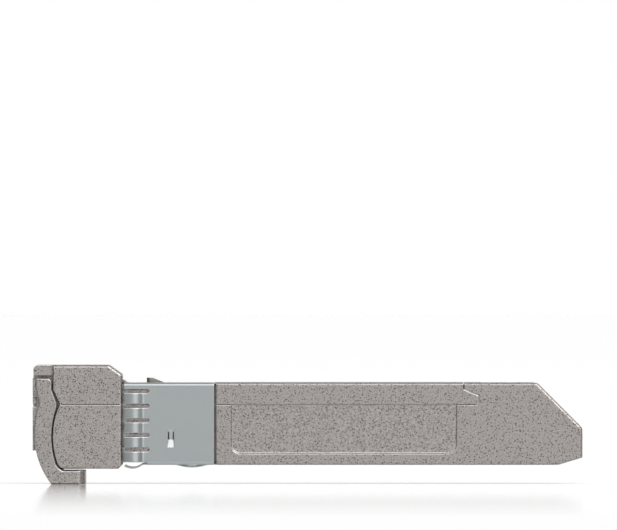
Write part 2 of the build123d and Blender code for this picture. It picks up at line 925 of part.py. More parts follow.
def lever_outline():
    """The lever from the side: a narrow arm with a knee, then the foot below the head."""
    knee_high = z_split + knee_height
    knee_low = knee_high - knee_flat
    hip_z = z_split + arm_hip_height
    belly_z = head_low + belly_height
    calf_z = head_low + calf_height
    top_front = (front_x + arm_top_setback, lever_top)
    hip_front = (front_x + arm_hip_setback, pivot_z)
    knee_front = (front_x + knee_setback, knee_high)
    belly_front = (front_x + belly_setback, belly_z)
    calf_front = (front_x + calf_setback, calf_z)
    shin_front = (front_x + shin_setback, head_low - shin_drop)
    toe = (front_x + toe_setback, 0)
    heel_low = (foot_end, 0)
    heel_high = (foot_end, foot_top)
    instep = (front_x + toe_setback + instep_width, foot_top)
    shin_back = (front_x + shin_setback + shin_width, head_low + lap)
    calf_back = (front_x + calf_setback + calf_width, calf_z)
    belly_back = (front_x + belly_setback + belly_width, belly_z)
    knee_back_low = (front_x + knee_setback + knee_width, knee_low)
    knee_back_high = (front_x + knee_setback + knee_width, knee_high)
    hip_back = (front_x + arm_hip_setback + arm_width, hip_z)
    top_back = (front_x + arm_top_setback + arm_width, lever_top)
    outline = make_face(
        [
            Line(top_front, hip_front),
            Line(hip_front, knee_front),
            ThreePointArc(knee_front, belly_front, calf_front),
            ThreePointArc(calf_front, shin_front, toe),
            Line(toe, heel_low),
            Line(heel_low, heel_high),
            Line(heel_high, instep),
            ThreePointArc(instep, shin_back, calf_back),
            ThreePointArc(calf_back, belly_back, knee_back_low),
            Line(knee_back_low, knee_back_high),
            Line(knee_back_high, hip_back),
            Line(hip_back, top_back),
            Line(top_back, top_front),
        ]
    )
    rounds = [
        (top_back, arm_top_round),
        (top_front, arm_front_round),
        (hip_back, arm_bend_round),
        (knee_front, arm_bend_round),
        (heel_low, foot_round),
        (heel_high, foot_round),
    ]
    for point, radius in rounds:
        corner = outline.vertices().sort_by_distance(Vector(point[0], point[1], 0))[0]
        outline = fillet(corner, radius)
    return outline


def cam_outline():
    """A cam whose lift grows evenly with its turn: an involute between two flats."""
    lift_rate = (rocker_x - pivot_x) / (lever_travel / rocker_travel - 1)

    def face_point(step):
        turn = radians(lever_travel) * step / cam_points
        reach = cam_base + lift_rate * turn
        along = -reach * sin(turn) - lift_rate * cos(turn)
        up = reach * cos(turn) - lift_rate * sin(turn)
        return (pivot_x + along, pivot_z + up)

    face = Spline(*[face_point(step) for step in range(cam_points + 1)])
    flat_end = (pivot_x + sqrt(cam_round**2 - cam_base**2), pivot_z + cam_base)
    below = (pivot_x, pivot_z - cam_round)
    heel = (pivot_x - cam_round * cos(pi / 4), pivot_z - cam_round * sin(pi / 4))
    round_back = ThreePointArc(heel, below, flat_end)
    return make_face([face, Line(face @ 1, heel), round_back, Line(flat_end, face @ 0)])


def bail_lever():
    """Two arms, the foot that joins them, and a hinge stub with a cam on each arm."""
    outline = lever_outline()
    foot_half = half_head - lever_bevel
    arm = side_plate(outline, half_head - lever_thickness, half_head)
    arm = chamfer(side_edges(arm, half_head, front_x), lever_bevel)
    foot = side_plate(outline, -foot_half, foot_half)
    foot &= across(front_x - past, foot_end + past, half_head, -past, foot_top)
    stub = rod(pivot_x, pivot_z, stub_radius, chamber_side, half_head - lever_thickness / 2)
    cam = side_plate(cam_outline(), chamber_side - cam_width, chamber_side)
    lever = both_sides(arm + stub + cam) + foot
    plan = across(front_x - past, foot_end, half_head, -past, head_high)
    heels = plan.edges().filter_by(Axis.Z).filter_by(lambda e: e.center().X > foot_end - slack)
    return lever & fillet(heels, foot_corner)


# Rocker that carries the latch boss


def latch_boss(base_z):
    """The boss that catches the cage: a square shoulder in front and a ramp behind."""
    ramp = polygon(
        (shoulder_x, base_z - lap),
        (shoulder_x + boss_length, base_z - lap),
        (shoulder_x + boss_length, z_high),
        (shoulder_x + boss_flat, z_high + boss_height),
        (shoulder_x, z_high + boss_height),
    )
    boss = side_plate(ramp, -boss_width / 2, boss_width / 2)
    shoulder = boss.edges().filter_by(Axis.Z)
    return fillet(shoulder.filter_by(lambda e: e.center().X < shoulder_x + slack), boss_corner)


def latch_rocker():
    """A two-armed rocker: a tee over the cams in front, trunnions, and the latch boss behind."""
    tee_front = pivot_x - tee_reach
    tee_half = chamber_side - tee_side_gap
    arm_top = z_high - seat_depth
    tip = shoulder_x + boss_length + tail_arm_end
    half = rocker_width / 2
    reach = half + trunnion_length
    spine = polygon(
        (tee_front, tee_low),
        (rocker_x - rocker_neck, tee_low),
        (rocker_x - rocker_hub_half, rocker_z - rocker_hub_depth),
        (rocker_x + rocker_hub_half, rocker_z - rocker_hub_depth),
        (head_back, tunnel_floor + tail_arm_root_gap),
        (tip, tunnel_floor + tail_arm_tip_gap),
        (tip, arm_top),
        (head_back + tail_arm_step, arm_top),
        (head_back, rocker_back_top),
        (rocker_x, tee_high),
        (tee_front, tee_high),
    )
    taper = block(
        head_back + tail_arm_setback, tip + past, tail_arm_width / 2, half + past, z_split, head_high
    )
    rocker = side_plate(spine, -half, half) - both_sides(taper)
    rocker += across(tee_front, tee_front + tee_length, tee_half, tee_low, tee_high)
    rocker += rod(rocker_x, rocker_z, trunnion_radius, -reach, reach)
    return rocker + latch_boss(arm_top)


def rocker_spring():
    """A bowed leaf between the tunnel's ceiling and the rocker's front arm."""
    top = tunnel_ceiling - leaf_gap
    depth = top - tee_high - leaf_press_gap - leaf_thickness
    section = bow_section(
        rocker_x - leaf_setback, leaf_length, depth, leaf_root_round, leaf_thickness
    )
    leaf = Rot(-90, 0, 0) * extrude(section, leaf_width)
    return Pos(0, -leaf_width / 2, top - leaf_thickness) * leaf


# Optical sub-assemblies


def optics_barrel(y):
    """The metal receptacle: nozzle with its stepped bore, and the body behind it."""
    lip_end = nozzle_tip + nozzle_lip
    sleeve_end = sleeve_start + sleeve_length + sleeve_end_gap
    body_front = bay_front + fit_gap
    profile = polygon(
        (nozzle_tip, lip_radius),
        (nozzle_tip, nozzle_radius - nozzle_bevel),
        (nozzle_tip + nozzle_bevel, nozzle_radius),
        (body_front, nozzle_radius),
        (body_front, barrel_radius),
        (barrel_end, barrel_radius),
        (barrel_end, stub_holder + fit_gap),
        (sleeve_end, stub_holder + fit_gap),
        (sleeve_end, sleeve_radius + fit_gap),
        (lip_end, sleeve_radius + fit_gap),
        (lip_end, lip_radius),
    )
    return Pos(0, y, axis_z) * revolve(Plane.XZ * profile, Axis.X)


def ferrule_sleeve(y):
    """The split ceramic sleeve that centres the plug's ferrule."""
    end = sleeve_start + sleeve_length
    slit = sleeve_slit / 2
    sleeve = x_rod(y, axis_z, sleeve_radius, sleeve_start, end)
    sleeve -= x_rod(y, axis_z, ferrule_bore, sleeve_start - past, end + past)
    return sleeve - block(sleeve_start - past, end + past, y - slit, y + slit, axis_z, z_split)


def fibre_stub(y):
    """The ceramic stub that closes the back of the bore."""
    start = sleeve_start + sleeve_length + stub_setback
    return x_rod(y, axis_z, stub_holder, start, barrel_end)


def optics_can(y):
    """The sealed can on its round header."""
    can = x_rod(y, axis_z, can_radius, barrel_end, can_end)
    return can + x_rod(y, axis_z, header_radius, can_end, header_end)


def flex_circuit(y):
    """A flexible circuit from the header's back face to the board's lower face."""
    plate_x = header_end + flex_thickness / 2
    top = board_low - flex_thickness / 2
    path = FilletPolyline(
        (plate_x, axis_z - flex_drop),
        (plate_x, top),
        (board_front + flex_lap, top),
        radius=flex_bend,
    )
    return side_plate(trace(path, flex_thickness), y - flex_width / 2, y + flex_width / 2)


def optics_clamp():
    """The moulded clamp that holds both barrels down in their saddles."""
    start = port_back + fit_gap
    body_start = bay_front + fit_gap
    body_end = body_start + clamp_length
    low = axis_z + clamp_gap
    top = z_split - clamp_gap
    lip = nozzle_radius - clamp_gap
    clamp = across(body_start, body_end, half_cavity - clamp_side_gap, low, top)
    for y in port_centres():
        clamp += block(start, body_start, y - lip, y + lip, low, top)
    for y in port_centres():
        clamp -= x_rod(y, axis_z, barrel_radius + fit_gap, body_start, body_end + past)
        clamp -= x_rod(y, axis_z, nozzle_radius + clamp_gap, start - past, body_start)
    return clamp


# Circuit board and what is on it


def circuit_board():
    """The board, narrowed where it plugs into the host's socket."""
    edge_half = (contact_count * contact_pitch) / 2 + edge_margin
    board = across(board_front, edge_start, half_board, board_low, z_split)
    board += across(edge_start - lap, board_end, edge_half, board_low, z_split)
    tips = board.edges().filter_by(Axis.Z).filter_by(lambda e: e.center().X > board_end - slack)
    board = chamfer(tips, edge_tip_bevel)
    lips = board.edges().filter_by(Axis.Y).filter_by(lambda e: e.center().X > board_end - slack)
    return chamfer(lips, edge_lip_bevel)


def edge_contacts(low_z):
    """One face's row of gold contact fingers, the two outer ones longer."""
    end = board_end - contact_setback
    contacts = []
    for i in range(contact_count):
        y = (i - (contact_count - 1) / 2) * contact_pitch
        extra = contact_long_extra if i in (0, contact_count - 1) else 0
        length = contact_length + extra
        contacts.append(tile(end - length / 2, y, length, contact_width, low_z, contact_thickness))
    return Compound(contacts)


def small_parts(start, pitch, columns, side, size, low_z):
    """Two equal rows of surface-mounted parts."""
    length, width, height = size
    return Compound(
        [
            tile(start + pitch * i, y, length, width, low_z, height)
            for i in range(columns)
            for y in (-side, side)
        ]
    )


def board_parts():
    """What is soldered to the board, and the pad that carries the driver's heat away."""
    chip_low = board_low - chip_height
    resistor_x = driver_x + driver_size / 2 + resistor_start
    resistor_low = board_low - resistor_size[2]
    amplifier_x = board_front + amplifier_station
    controller_x = board_front + controller_station
    capacitor_x = board_front + capacitor_start
    return {
        "driver_chip": tile(driver_x, 0, driver_size, driver_size, chip_low, chip_height),
        "thermal_pad": tile(driver_x, 0, pad_size, pad_size, chip_low - pad_thickness, pad_thickness),
        "amplifier_chip": tile(amplifier_x, 0, amplifier_size, amplifier_size, chip_low, chip_height),
        "controller_chip": tile(
            controller_x, 0, controller_size, controller_size, z_split, chip_height
        ),
        "capacitors": small_parts(
            capacitor_x, capacitor_pitch, capacitor_columns, capacitor_side, capacitor_size, z_split
        ),
        "resistors": small_parts(
            resistor_x, resistor_pitch, resistor_columns, resistor_side, resistor_size, resistor_low
        ),
    }


# Write every piece


def make_parts():
    """All the pieces, by name."""
    form = housing_form()
    parts = {
        "base_shell": base_shell(form),
        "cover_shell": cover_shell(form),
        "spring_collar": spring_collar(),
        "bail_lever": bail_lever(),
        "latch_rocker": latch_rocker(),
        "rocker_spring": rocker_spring(),
        "optics_clamp": optics_clamp(),
        "circuit_board": circuit_board(),
        "upper_contacts": edge_contacts(z_split),
        "lower_contacts": edge_contacts(board_low - contact_thickness),
    }
    for side, y in zip(("transmit", "receive"), port_centres()):
        parts[f"{side}_barrel"] = optics_barrel(y)
        parts[f"{side}_sleeve"] = ferrule_sleeve(y)
        parts[f"{side}_stub"] = fibre_stub(y)
        parts[f"{side}_can"] = optics_can(y)
        parts[f"{side}_flex"] = flex_circuit(y)
    return parts | board_parts()


for name, shape in make_parts().items():
    export_step(shape, f"parts/{name}.step")
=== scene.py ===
"""Looks for a pluggable fibre transceiver module, built round its fixed CAD frame."""

import logging
import math
from dataclasses import dataclass, field
from enum import Enum
from typing import Any

import bpy
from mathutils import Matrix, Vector

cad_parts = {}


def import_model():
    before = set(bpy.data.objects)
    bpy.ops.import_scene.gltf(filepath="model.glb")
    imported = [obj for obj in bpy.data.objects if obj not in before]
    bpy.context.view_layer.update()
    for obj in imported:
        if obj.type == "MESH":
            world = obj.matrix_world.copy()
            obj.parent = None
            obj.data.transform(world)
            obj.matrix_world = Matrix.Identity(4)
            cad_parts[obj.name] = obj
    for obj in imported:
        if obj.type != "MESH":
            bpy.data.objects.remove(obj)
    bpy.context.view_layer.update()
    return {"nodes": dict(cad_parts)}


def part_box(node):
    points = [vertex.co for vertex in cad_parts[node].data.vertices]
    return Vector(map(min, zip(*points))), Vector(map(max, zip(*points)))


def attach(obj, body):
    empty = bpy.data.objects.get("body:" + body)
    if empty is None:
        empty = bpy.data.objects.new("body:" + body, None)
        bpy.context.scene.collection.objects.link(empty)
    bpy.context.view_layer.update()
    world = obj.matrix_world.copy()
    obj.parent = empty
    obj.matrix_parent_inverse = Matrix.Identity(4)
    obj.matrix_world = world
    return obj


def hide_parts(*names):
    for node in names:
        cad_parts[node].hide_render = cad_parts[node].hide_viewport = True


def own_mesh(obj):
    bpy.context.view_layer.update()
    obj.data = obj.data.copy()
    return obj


LOG = logging.getLogger("transceiver")
MM = 0.001

# The sockets of the Mix node: its factor, and what it takes and gives for numbers and for colours
FACTOR = 0
NUMBER_A, NUMBER_B, NUMBER_OUT = 2, 3, 0
COLOUR_A, COLOUR_B, COLOUR_OUT = 6, 7, 2

# The light by direction. Each stop is a place between minus one and one, and the level there.
# In front of the module, along its length: dim at both ends, with one panel towards the tail
FRONT_ALONG = (
    (-0.8, 0.4),
    (-0.3, 0.5),
    (-0.08, 0.86),
    (0.1, 0.96),
    (0.25, 1.6),
    (0.35, 1.7),
    (0.55, 1.6),
    (0.78, 0.4),
    (1.0, 0.4),
)
# In front, by height: a bright panel between 27 and 48 degrees up draws the line on each top edge
FRONT_HEIGHT = (
    (-0.05, 0.94),
    (0.28, 0.97),
    (0.46, 2.5),
    (0.74, 2.5),
    (0.9, 0.95),
    (1.0, 1.0),
)
# Behind, along the length and by height: a white backdrop with dim surroundings
BACK_ALONG = ((-0.4, 0.5), (-0.25, 1.0), (0.25, 1.0), (0.4, 0.5))
BACK_HEIGHT = ((0.2, 1.1), (0.4, 0.5))
# Where the front gives way to the back, across the module
BEHIND_SHARE = ((0.02, 0.0), (0.2, 1.0))
# How much of the backdrop the floor mirrors, from the module's middle towards the lens
MIRROR_FADE = (
    (0.0, 0.0),
    (0.25, 0.14),
    (0.5, 0.36),
    (0.75, 0.62),
    (0.93, 0.92),
    (1.0, 0.5),
)


def linear(colour: str) -> tuple[float, float, float, float]:
    """Turns an sRGB hex colour into linear light.

    Args:
        colour: Six hex digits, with or without a leading hash.

    Returns:
        Red, green, blue and an alpha of one.
    """
    digits = colour.lstrip("#")
    channels = [int(digits[i : i + 2], 16) / 255 for i in (0, 2, 4)]
    light = [c / 12.92 if c <= 0.04045 else ((c + 0.055) / 1.055) ** 2.4 for c in channels]
    return (*light, 1.0)


def stop_colour(value: str | float) -> tuple[float, float, float, float]:
    """Turns a ramp stop's value into linear light.

    Args:
        value: An sRGB hex colour, or a plain level from nought to one.

    Returns:
        Red, green, blue and an alpha of one.
    """
    return linear(value) if isinstance(value, str) else (value, value, value, 1.0)


def add_node(
    tree: bpy.types.NodeTree,
    kind: str,
    links: dict[Any, bpy.types.NodeSocket] | None = None,
    values: dict[Any, Any] | None = None,
    stops: tuple[tuple[float, str | float], ...] = (),
    **settings: Any,
) -> bpy.types.Node:
    """Adds one node with its settings, socket values, ramp stops and incoming links.

    Args:
        tree: The tree that gets the node.
        kind: The node's type name.
        links: Input sockets by name or number, each with the output that feeds it.
        values: Input sockets by name or number, each with its constant.
        stops: A ramp's positions, each with an sRGB hex colour or a plain level.
        **settings: Properties of the node itself.

    Returns:
        The new node.
    """
    node = tree.nodes.new(kind)
    for name, value in settings.items():
        setattr(node, name, value)
    for socket, value in (values or {}).items():
        node.inputs[socket].default_value = value
    for socket, source in (links or {}).items():
        tree.links.new(source, node.inputs[socket])
    if stops:
        elements = node.color_ramp.elements
        while len(elements) > 1:
            elements.remove(elements[-1])
        elements[0].position, elements[0].color = stops[0][0], stop_colour(stops[0][1])
        for position, colour in stops[1:]:
            elements.new(position).color = stop_colour(colour)
    return node


def scale_for(size_mm: float) -> float:
    """The texture scale at which a pattern repeats every so many millimetres."""
    return 1 / (size_mm * MM)


@dataclass(frozen=True)
class Surface:
    """What every finish shares: a named material with a principled shader.

    Attributes:
        name: The finish in a maker's words.
        colour: The main colour, sRGB hex.
        roughness: The shader's roughness.
        metallic: One for bare or plated metal.
    """

    name: str
    colour: str
    roughness: float
    metallic: float = 0.0

    def start(self) -> tuple[bpy.types.Material, bpy.types.Node, bpy.types.Node]:
        """Makes the material with its shader and its object coordinates.

        Returns:
            The material, the principled shader and the coordinate node.
        """
        material = bpy.data.materials.new(self.name)
        material.use_nodes = True
        tree = material.node_tree
        shader = tree.nodes["Principled BSDF"]
        shader.inputs["Base Color"].default_value = linear(self.colour)
        shader.inputs["Metallic"].default_value = self.metallic
        shader.inputs["Roughness"].default_value = self.roughness
        place = add_node(tree, "ShaderNodeTexCoord")
        return material, shader, place


@dataclass(frozen=True)
class PaintedLightMetal(Surface):
    """Metal with painted shade in its narrow gaps and a painted highlight on its upward edges.

    Attributes:
        gap_shade_colour: The painted shade deep in a narrow gap, sRGB hex.
        edge_highlight_colour: The colour of the painted highlight on an upward edge, sRGB hex.
        edge_highlight_metallic: How much of its mirror an edge keeps under the painted highlight.
        gap_mm: The width of the gaps that look dark.
        edge_mm: The radius that making and handling leave on a sharp edge.
        rays: How many rays feel for the edges and the gaps.
        flat_turn: How far the rounded normal agrees with the face's where the painted edge
            highlight starts.
        full_turn: How far they agree where the painted edge highlight is full.
        lie_start: The upward part of the normal where the painted edge highlight starts.
        lie_full: The upward part where the painted edge highlight is full.
        sky_shut: The share of open sky at which the painted shade is darkest.
        sky_clear: The share at which there is no painted shade.
        gap_shade_cover: How much the darkest painted shade hides.
    """

    gap_shade_colour: str = "2c2927"
    edge_highlight_colour: str = "f3f1ef"
    edge_highlight_metallic: float = 0.45
    gap_mm: float = 0.45
    edge_mm: float = 0.1
    rays: int = 8
    flat_turn: float = 0.995
    full_turn: float = 0.95
    lie_start: float = -0.1
    lie_full: float = 0.3
    sky_shut: float = 0.2
    sky_clear: float = 0.75
    gap_shade_cover: float = 0.9

    def soften(self, tree: bpy.types.NodeTree) -> bpy.types.NodeSocket:
        """Rounds the edges in the shading.

        Args:
            tree: The material's tree.

        Returns:
            The socket with the rounded normal.
        """
        reach = {"Radius": self.edge_mm * MM}
        edge = add_node(tree, "ShaderNodeBevel", values=reach, samples=self.rays)
        return edge.outputs["Normal"]

    def age(
        self,
        tree: bpy.types.NodeTree,
        rounded: bpy.types.NodeSocket,
        colour: bpy.types.NodeSocket | None = None,
    ) -> bpy.types.NodeSocket:
        """Paints a highlight, lighter and less metallic, on the edges that face the latch side,
        and paints shade in the narrow gaps.

        Args:
            tree: The material's tree.
            rounded: The rounded normal.
            colour: The colour before the painted highlight and shade, where it isn't plain.

        Returns:
            The socket with the colour after the painted highlight and shade.
        """
        # Painted highlight: rounded edges that face the latch side get a lighter colour and less
        # metal
        surface = add_node(tree, "ShaderNodeNewGeometry")
        turn = add_node(
            tree,
            "ShaderNodeVectorMath",
            {0: rounded, 1: surface.outputs["True Normal"]},
            operation="DOT_PRODUCT",
        )
        edge_turn_share = add_node(
            tree,
            "ShaderNodeMapRange",
            {"Value": turn.outputs["Value"]},
            {"From Min": self.flat_turn, "From Max": self.full_turn},
        )
        facing = add_node(
            tree,
            "ShaderNodeVectorTransform",
            {0: rounded},
            vector_type="NORMAL",
            convert_from="WORLD",
            convert_to="OBJECT",
        )
        lie = add_node(tree, "ShaderNodeSeparateXYZ", {0: facing.outputs[0]})
        upward = add_node(
            tree,
            "ShaderNodeMapRange",
            {"Value": lie.outputs["Z"]},
            {"From Min": self.lie_start, "From Max": self.lie_full},
        )
        edge_highlight = add_node(
            tree,
            "ShaderNodeMath",
            {0: edge_turn_share.outputs["Result"], 1: upward.outputs["Result"]},
            operation="MULTIPLY",
        )
        highlight_metallic = add_node(
            tree,
            "ShaderNodeMapRange",
            {"Value": edge_highlight.outputs[0]},
            {"To Min": self.metallic, "To Max": self.edge_highlight_metallic},
        )
        shader = tree.nodes["Principled BSDF"]
        tree.links.new(highlight_metallic.outputs["Result"], shader.inputs["Metallic"])
        highlighted_colour = add_node(
            tree,
            "ShaderNodeMix",
            {FACTOR: edge_highlight.outputs[0]},
            {COLOUR_A: linear(self.colour), COLOUR_B: linear(self.edge_highlight_colour)},
            data_type="RGBA",
        )
        if colour:
            tree.links.new(colour, highlighted_colour.inputs[COLOUR_A])
        # Painted shade: narrow gaps darken towards a near black
        open_sky = add_node(
            tree,
            "ShaderNodeAmbientOcclusion",
            values={"Distance": self.gap_mm * MM},
            samples=self.rays,
        )
        gap_shade = add_node(
            tree,
            "ShaderNodeMapRange",
            {"Value": open_sky.outputs["AO"]},
            {
                "From Min": self.sky_shut,
                "From Max": self.sky_clear,
                "To Min": self.gap_shade_cover,
                "To Max": 0.0,
            },
        )
        dark = add_node(
            tree,
            "ShaderNodeMix",
            {FACTOR: gap_shade.outputs["Result"], COLOUR_A: highlighted_colour.outputs[COLOUR_OUT]},
            {COLOUR_B: linear(self.gap_shade_colour)},
            data_type="RGBA",
        )
        return dark.outputs[COLOUR_OUT]


@dataclass(frozen=True)
class BlastedCasting(PaintedLightMetal):
    """Bead-blasted, nickel-plated zinc die casting: a satin metal, pebbled, with small dark pits.

    Attributes:
        grain_dark: The colour in the hollows of the pebbling, sRGB hex.
        grain_light: The colour on its tops, sRGB hex.
        pit_colour: The colour at the bottom of the pits, sRGB hex.
        grain_mm: The size of the pebbling.
        grain_detail: How many finer layers the pebbling has.
        grain_roughness: How strong those layers are.
        tone_low: The height of the pebbling that is darkest.
        tone_middle: The height that has the main colour.
        tone_high: The height that is lightest.
        pit_mm: The distance from one pit to the next.
        pit_reach: How far a pit reaches, as a share of that distance.
        pit_core: The share of that reach that is dark all over.
        relief_mm: How deep the pebbling is.
        relief_share: How strongly the pebbling turns the light.
    """

    grain_dark: str = "837d7a"
    grain_light: str = "b0aba8"
    pit_colour: str = "45413e"
    # The beads leave dimples of about 0.05 mm, half a pixel: drawn twice as coarse, to show
    grain_mm: float = 0.11
    grain_detail: float = 1.0
    grain_roughness: float = 0.6
    tone_low: float = 0.32
    tone_middle: float = 0.5
    tone_high: float = 0.68
    # The casting's open pores stand a quarter of a millimetre apart and show at their real size
    pit_mm: float = 0.25
    pit_reach: float = 0.31
    pit_core: float = 0.6
    relief_mm: float = 0.005
    relief_share: float = 0.5

    def build(self) -> bpy.types.Material:
        """Makes the material.

        Returns:
            The finished material.
        """
        material, shader, place = self.start()
        tree = material.node_tree
        where = {"Vector": place.outputs["Object"]}
        grain = add_node(
            tree,
            "ShaderNodeTexNoise",
            where,
            {
                "Scale": scale_for(self.grain_mm),
                "Detail": self.grain_detail,
                "Roughness": self.grain_roughness,
            },
        )
        tone = add_node(
            tree,
            "ShaderNodeValToRGB",
            {"Fac": grain.outputs["Fac"]},
            stops=(
                (self.tone_low, self.grain_dark),
                (self.tone_middle, self.colour),
                (self.tone_high, self.grain_light),
            ),
        )
        pits = add_node(
            tree,
            "ShaderNodeTexVoronoi",
            where,
            {"Scale": scale_for(self.pit_mm), "Randomness": 1.0},
        )
        depth = add_node(
            tree,
            "ShaderNodeMapRange",
            {"Value": pits.outputs["Distance"]},
            {
                "From Min": self.pit_reach * self.pit_core,
                "From Max": self.pit_reach,
                "To Min": 1.0,
                "To Max": 0.0,
            },
        )
        spots = add_node(
            tree,
            "ShaderNodeMix",
            {FACTOR: depth.outputs["Result"], COLOUR_A: tone.outputs["Color"]},
            {COLOUR_B: linear(self.pit_colour)},
            data_type="RGBA",
        )
        rounded = self.soften(tree)
        painted_colour = self.age(tree, rounded, spots.outputs[COLOUR_OUT])
        tree.links.new(painted_colour, shader.inputs["Base Color"])
        height = add_node(
            tree,
            "ShaderNodeMath",
            {0: grain.outputs["Fac"], 1: depth.outputs["Result"]},
            operation="SUBTRACT",
        )
        bump = add_node(
            tree,
            "ShaderNodeBump",
            {"Height": height.outputs[0], "Normal": rounded},
            {"Strength": self.relief_share, "Distance": self.relief_mm * MM},
        )
        tree.links.new(bump.outputs["Normal"], shader.inputs["Normal"])
        return material


@dataclass(frozen=True)
class RolledSheet(PaintedLightMetal):
    """Rolled, turned or plated smooth metal, with a faint grain of fine lines.

    Attributes:
        grain_mm: The spacing of the lines.
        grain_detail: How many finer layers the lines have.
        stretch: How many times longer than wide the lines are.
        line_low: The level of the grain that is glossiest.
        line_high: The level that is dullest.
        gloss_swing: How far the roughness goes to either side of its middle.
        relief_mm: How deep the lines are.
        relief_share: How strongly the lines turn the light.
    """

    # Rolling and turning lines are about 0.01 mm apart: drawn as streaks a pixel wide, to show
    grain_mm: float = 0.12
    grain_detail: float = 2.0
    stretch: float = 14.0
    line_low: float = 0.3
    line_high: float = 0.7
    gloss_swing: float = 0.04
    relief_mm: float = 0.002
    relief_share: float = 0.15

    def build(self) -> bpy.types.Material:
        """Makes the material.

        Returns:
            The finished material.
        """
        material, shader, place = self.start()
        tree = material.node_tree
        squeeze = add_node(
            tree,
            "ShaderNodeMapping",
            {"Vector": place.outputs["Object"]},
            {"Scale": (1.0 / self.stretch, 1.0, 1.0)},
        )
        lines = add_node(
            tree,
            "ShaderNodeTexNoise",
            {"Vector": squeeze.outputs["Vector"]},
            {"Scale": scale_for(self.grain_mm), "Detail": self.grain_detail},
        )
        rough = add_node(
            tree,
            "ShaderNodeMapRange",
            {"Value": lines.outputs["Fac"]},
            {
                "From Min": self.line_low,
                "From Max": self.line_high,
                "To Min": self.roughness - self.gloss_swing,
                "To Max": self.roughness + self.gloss_swing,
            },
        )
        tree.links.new(rough.outputs["Result"], shader.inputs["Roughness"])
        rounded = self.soften(tree)
        painted_colour = self.age(tree, rounded)
        tree.links.new(painted_colour, shader.inputs["Base Color"])
        bump = add_node(
            tree,
            "ShaderNodeBump",
            {"Height": lines.outputs["Fac"], "Normal": rounded},
            {"Strength": self.relief_share, "Distance": self.relief_mm * MM},
        )
        tree.links.new(bump.outputs["Normal"], shader.inputs["Normal"])
        return material


@dataclass(frozen=True)
class MottledSolid(Surface):
    """A moulded, fired or coated solid with a fine mottle in its colour and gloss.

    Attributes:
        second: The colour that the mottle reaches, sRGB hex.
        mottle_mm: The size of the mottle.
        mottle_detail: How many finer layers the mottle has.
        mottle_low: The level of the mottle that has the main colour.
        mottle_high: The level that has the second colour.
        relief_mm: How deep the texture looks.
        relief_share: How strongly the texture turns the light.
        coat: The weight of a clear coat.
    """

    second: str = "808080"
    # Filler grains, fired grains and weave are 0.02 to 0.1 mm: drawn at two pixels, to show
    mottle_mm: float = 0.2
    mottle_detail: float = 3.0
    mottle_low: float = 0.3
    mottle_high: float = 0.75
    relief_mm: float = 0.003
    relief_share: float = 0.4
    coat: float = 0.0

    def build(self) -> bpy.types.Material:
        """Makes the material.

        Returns:
            The finished material.
        """
        material, shader, place = self.start()
        tree = material.node_tree
        mottle = add_node(
            tree,
            "ShaderNodeTexNoise",
            {"Vector": place.outputs["Object"]},
            {"Scale": scale_for(self.mottle_mm), "Detail": self.mottle_detail},
        )
        tone = add_node(
            tree,
            "ShaderNodeValToRGB",
            {"Fac": mottle.outputs["Fac"]},
            stops=((self.mottle_low, self.colour), (self.mottle_high, self.second)),
        )
        tree.links.new(tone.outputs["Color"], shader.inputs["Base Color"])
        bump = add_node(
            tree,
            "ShaderNodeBump",
            {"Height": mottle.outputs["Fac"]},
            {"Strength": self.relief_share, "Distance": self.relief_mm * MM},
        )
        tree.links.new(bump.outputs["Normal"], shader.inputs["Normal"])
        shader.inputs["Coat Weight"].default_value = self.coat
        return material


class Finish(Enum):
    """The finishes on this module, one for each kind of surface."""

    # Nickel over blasted zinc: a satin grey-brown that scatters light, peppered with dark pits
    CAST = BlastedCasting("bead_blasted_zinc_casting", "a39e9b", 0.34, 1.0)
    # The same casting where fingers pull it: the satin is a touch smoother
    LEVER = BlastedCasting("bead_blasted_lever_casting", "a39e9b", 0.33, 1.0)
    # Nickel over a tumbled steel part: the same satin, a little smoother and cooler
    LATCH = BlastedCasting("satin_nickel_latch", "a39f9c", 0.32, 1.0)
    # Cold-rolled stainless: a cool, even grey that mirrors the room softly, with a bright fold
    SHEET = RolledSheet("rolled_spring_sheet", "a8adae", 0.2, 1.0)
    # Turned stainless: rings round the axis show as fine lines of light
    TURNED = RolledSheet("turned_stainless", "b4b4b2", 0.22, 1.0, stretch=0.2)
    # Polished zirconia: a milky white with a sharp gloss
    ZIRCONIA = MottledSolid("polished_zirconia", "f0efe8", 0.12, second="f6f5f0")
    # Gold flash over nickel: a warm, slightly soft mirror
    CAN = RolledSheet("gold_flashed_can", "c9a45c", 0.24, 1.0)
    # Polyimide film over copper: a clear amber with a light gloss
    FLEX = MottledSolid("polyimide_flex", "9a5a14", 0.3, second="b06a1c", coat=0.3)
    # Glass-filled nylon: black, dull, faintly grainy
    CLAMP = MottledSolid("moulded_black_nylon", "161617", 0.5, second="1e1e20")
    # Solder mask over woven glass: a deep green under a clear coat
    BOARD = MottledSolid("green_solder_mask", "0e4a25", 0.3, second="135a2f", coat=0.5)
    # Hard gold on the edge contacts: a bright yellow, wiped smooth
    GOLD = RolledSheet("hard_gold_plate", "dcb45c", 0.25, 1.0)
    # A dead black strip in the slit at the cover's end: painted shade for the dark of the open
    # slit
    SEAL = MottledSolid("black_slit_shade", "0c0c0d", 0.7, second="141415")
    # Epoxy mould compound: charcoal, matt
    CHIP = MottledSolid("black_mould_compound", "141416", 0.55, second="1f1f22")
    # Soft silicone gap filler: a chalky blue-grey
    PAD = MottledSolid("soft_gap_pad", "9aa3ab", 0.8, second="a6afb6")
    # Barium titanate: a tan ceramic, nearly matt
    CAPACITOR = MottledSolid("barium_titanate_body", "8a6f4e", 0.5, second="9a7f5c")


